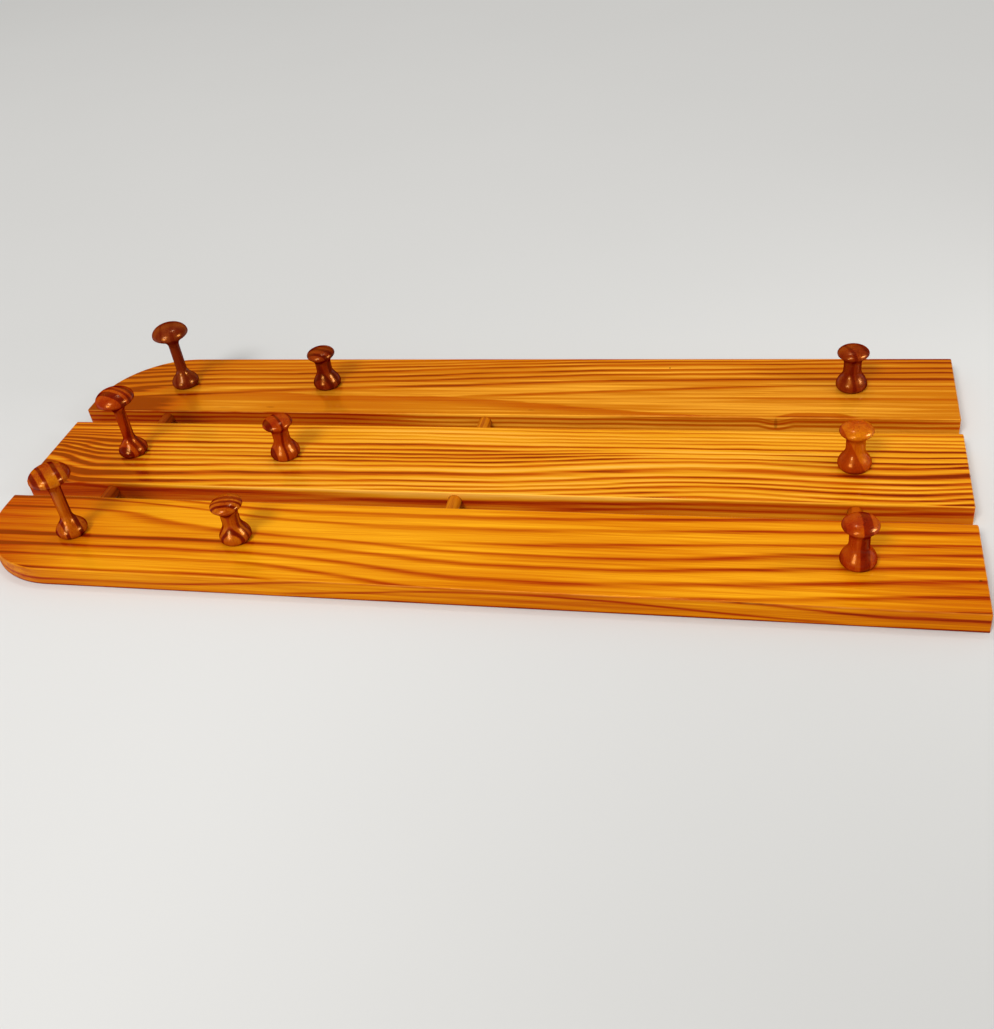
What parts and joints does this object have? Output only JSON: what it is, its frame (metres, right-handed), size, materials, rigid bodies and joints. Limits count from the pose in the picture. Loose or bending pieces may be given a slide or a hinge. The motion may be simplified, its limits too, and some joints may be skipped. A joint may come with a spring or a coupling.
{
  "type": "wall coat rack",
  "caption": "Wall coat rack: parallel lacquered boards joined by dowels across open gaps, rounded at the top, with long hat pegs, short coat pegs and keyhole hangers behind.",
  "frame": {"origin": "on the plane of the boards' back faces, under the centre of the rack", "axes": "the rack lies on its back: +X along the boards from the rounded top end to the square bottom end, +Y across the boards to the right-hand board as seen facing the wall, +Z out of the wall along the pegs"},
  "size_m": [1, 0.41, 0.1038],
  "materials": {
    "pine_board": "amber gloss lacquer over pine with reddish brown grain lines",
    "turned_peg": "reddish brown gloss lacquer over turned pine",
    "dowel_wood": "satin lacquer over a plain dowel",
    "zinc_plate": "zinc plated",
    "zinc_screw": "zinc plated"
  },
  "bodies": {
    "root": {"board_left": "pine_board", "board_middle": "pine_board", "board_right": "pine_board", "hat_peg_left": "turned_peg", "hat_peg_middle": "turned_peg", "hat_peg_right": "turned_peg", "coat_peg_upper_left": "turned_peg", "coat_peg_upper_middle": "turned_peg", "coat_peg_upper_right": "turned_peg", "coat_peg_lower_left": "turned_peg", "coat_peg_lower_middle": "turned_peg", "coat_peg_lower_right": "turned_peg", "dowel_upper_left": "dowel_wood", "dowel_upper_right": "dowel_wood", "dowel_centre_left": "dowel_wood", "dowel_centre_right": "dowel_wood", "dowel_lower_left": "dowel_wood", "dowel_lower_right": "dowel_wood", "hanger_plate_left": "zinc_plate", "hanger_plate_right": "zinc_plate", "hanger_screw_upper_left": "zinc_screw", "hanger_screw_upper_right": "zinc_screw", "hanger_screw_lower_left": "zinc_screw", "hanger_screw_lower_right": "zinc_screw"}
  },
  "joints": []
}
